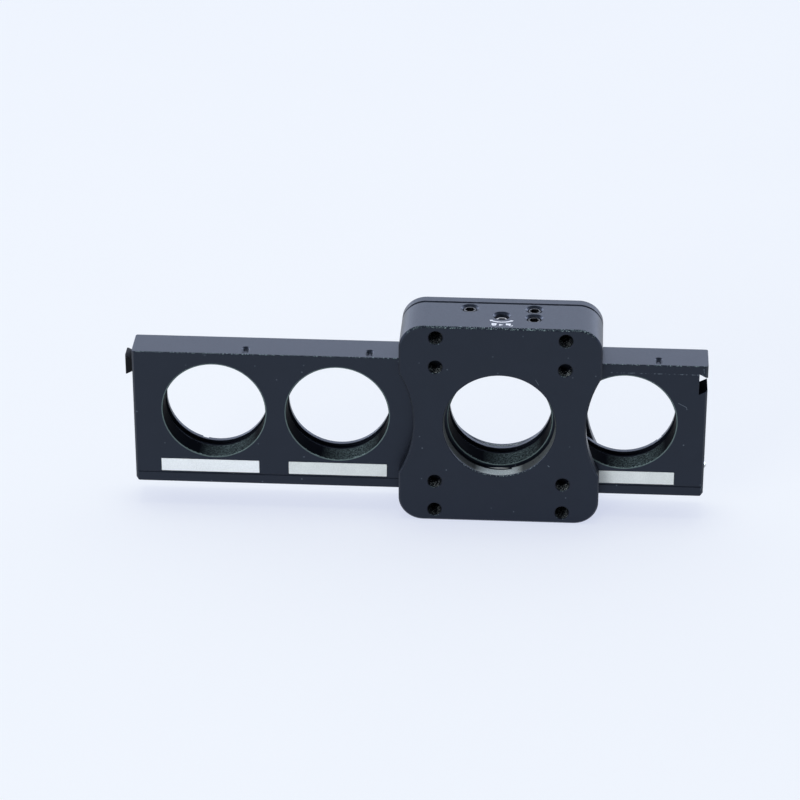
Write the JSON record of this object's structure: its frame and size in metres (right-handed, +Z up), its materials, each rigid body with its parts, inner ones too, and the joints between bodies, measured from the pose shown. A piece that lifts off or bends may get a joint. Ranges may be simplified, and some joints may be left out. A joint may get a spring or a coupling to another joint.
{
  "type": "cage filter mount",
  "caption": "Cage filter mount: a waisted black housing with threaded aperture and a sliding row of linked filter modules with click stops",
  "frame": {"origin": "On the optical axis, at the housing's front face.", "axes": "+X along the slider to the right seen from the front, +Y from the front face into the depth, +Z up."},
  "size_m": [0.1366, 0.0162, 0.0508],
  "materials": {
    "anodised_housing": "satin black anodised aluminium",
    "anodised_slider": "satin black anodised aluminium",
    "anodised_ring": "satin black anodised aluminium",
    "black_steel": "black oxide steel",
    "bright_steel": "bare stainless steel",
    "spring_steel": "drawn spring wire",
    "ball_steel": "polished ball bearing steel",
    "brass_sleeve": "turned",
    "nylon": "natural nylon",
    "label_plastic": "pale write-on strip"
  },
  "bodies": {
    "housing": {"housing_body": "anodised_housing", "rear_cover": "anodised_housing", "cover_screws": "black_steel", "guide_screws": "black_steel", "guide_pads": "nylon", "detent_sleeve": "bright_steel", "detent_spring": "spring_steel"},
    "slider": {"module_left": "anodised_slider", "module_right": "anodised_slider", "link_tongue_left": "black_steel", "link_tongue_right": "black_steel", "link_screw_left": "black_steel", "link_screw_right": "black_steel", "catch_sleeve_left": "brass_sleeve", "catch_sleeve_right": "brass_sleeve", "catch_spring_left": "spring_steel", "catch_spring_right": "spring_steel", "retaining_ring_1": "anodised_ring", "retaining_ring_2": "anodised_ring", "retaining_ring_3": "anodised_ring", "retaining_ring_4": "anodised_ring", "label_1": "label_plastic", "label_2": "label_plastic", "label_3": "label_plastic", "label_4": "label_plastic"},
    "detent_ball": {"detent_ball": "ball_steel"},
    "lock_pad": {"lock_pad": "nylon"},
    "lock_screw": {"lock_screw": "bright_steel"},
    "catch_ball_left": {"catch_ball_left": "ball_steel"},
    "catch_ball_right": {"catch_ball_right": "ball_steel"}
  },
  "joints": [
    {"name": "slider_travel", "type": "slide", "parent": "housing", "child": "slider", "axis": [1, 0, 0], "range_m": [-0.029, 0.0671]},
    {"name": "detent_ball_lift", "type": "slide", "parent": "housing", "child": "detent_ball", "axis": [0, 0, 1], "range_m": [-0.00048, 0], "stiffness_N_per_m": 400, "springref_m": -0.0028, "deforming": ["detent_spring"]},
    {"name": "lock_pad_press", "type": "slide", "parent": "housing", "child": "lock_pad", "axis": [0, 0, 1], "range_m": [-0.00033, 0]},
    {"name": "lock_screw_turn", "type": "hinge", "parent": "lock_pad", "child": "lock_screw", "pos_m": [0, 0.0067, 0.02], "axis": [0, 0, 1], "range_deg": [-170, 0]},
    {"name": "left_catch_press", "type": "slide", "parent": "slider", "child": "catch_ball_left", "axis": [1, 0, 0], "range_m": [-0.0006, 0], "stiffness_N_per_m": 400, "springref_m": 0.002, "deforming": ["catch_spring_left"]},
    {"name": "right_catch_press", "type": "slide", "parent": "slider", "child": "catch_ball_right", "axis": [1, 0, 0], "range_m": [-0.0006, 0], "stiffness_N_per_m": 400, "springref_m": 0.002, "deforming": ["catch_spring_right"]}
  ],
  "couplings": [
    {"joint": "lock_screw_turn", "follows": "lock_pad_press", "rad_per_m": 8976}
  ]
}
